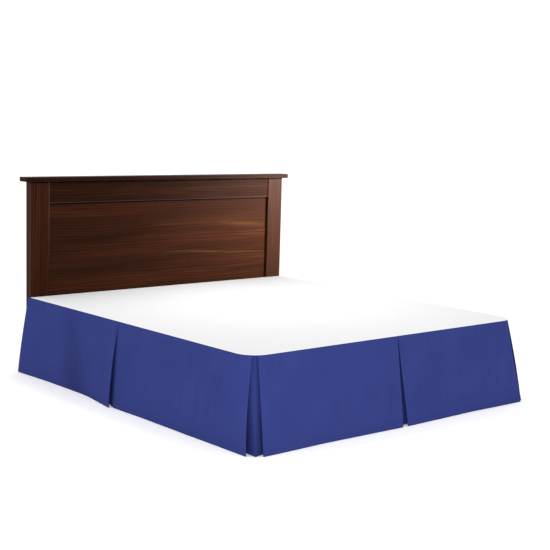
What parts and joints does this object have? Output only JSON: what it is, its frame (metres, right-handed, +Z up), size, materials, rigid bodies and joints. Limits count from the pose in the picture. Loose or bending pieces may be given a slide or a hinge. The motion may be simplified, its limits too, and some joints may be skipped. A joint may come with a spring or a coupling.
{
  "type": "pleated bed skirt on a plain bed with a headboard",
  "caption": "Tailored bed skirt: white deck cloth with blue box-pleated drops and corner inserts, falling to the floor round a plain box spring bed with a wooden headboard.",
  "frame": {"origin": "on the floor, under the middle of the whole object's box", "axes": "+Z up, the foot of the bed faces -Y, the headboard stands at +Y, +X is the right side seen from the foot"},
  "size_m": [2.0642, 2.2062, 1.161],
  "materials": {
    "deck_cloth": "plain white platform cloth",
    "skirt_cloth": "brushed royal blue microfibre, matte",
    "ticking": "plain pale ticking",
    "walnut": "dark walnut laminate, satin",
    "frame_steel": "black enamelled steel"
  },
  "bodies": {
    "root": {"deck": "deck_cloth", "left_drop_head_part": "skirt_cloth", "left_drop_foot_part": "skirt_cloth", "left_drop_underlay": "skirt_cloth", "right_drop_head_part": "skirt_cloth", "right_drop_foot_part": "skirt_cloth", "right_drop_underlay": "skirt_cloth", "foot_drop_left_part": "skirt_cloth", "foot_drop_right_part": "skirt_cloth", "foot_drop_underlay": "skirt_cloth", "corner_insert_left": "skirt_cloth", "corner_insert_right": "skirt_cloth", "box_spring": "ticking", "headboard_post_left": "walnut", "headboard_post_right": "walnut", "headboard_top_rail": "walnut", "headboard_bottom_rail": "walnut", "headboard_panel": "walnut", "headboard_cap": "walnut", "frame_side_left": "frame_steel", "frame_side_right": "frame_steel", "frame_bracket_left": "frame_steel", "frame_bracket_right": "frame_steel", "frame_cross_foot": "frame_steel", "frame_cross_middle": "frame_steel", "frame_cross_head": "frame_steel", "leg_foot_left": "frame_steel", "leg_foot_centre": "frame_steel", "leg_foot_right": "frame_steel", "leg_middle_left": "frame_steel", "leg_middle_centre": "frame_steel", "leg_middle_right": "frame_steel", "leg_head_left": "frame_steel", "leg_head_centre": "frame_steel", "leg_head_right": "frame_steel"}
  },
  "joints": []
}
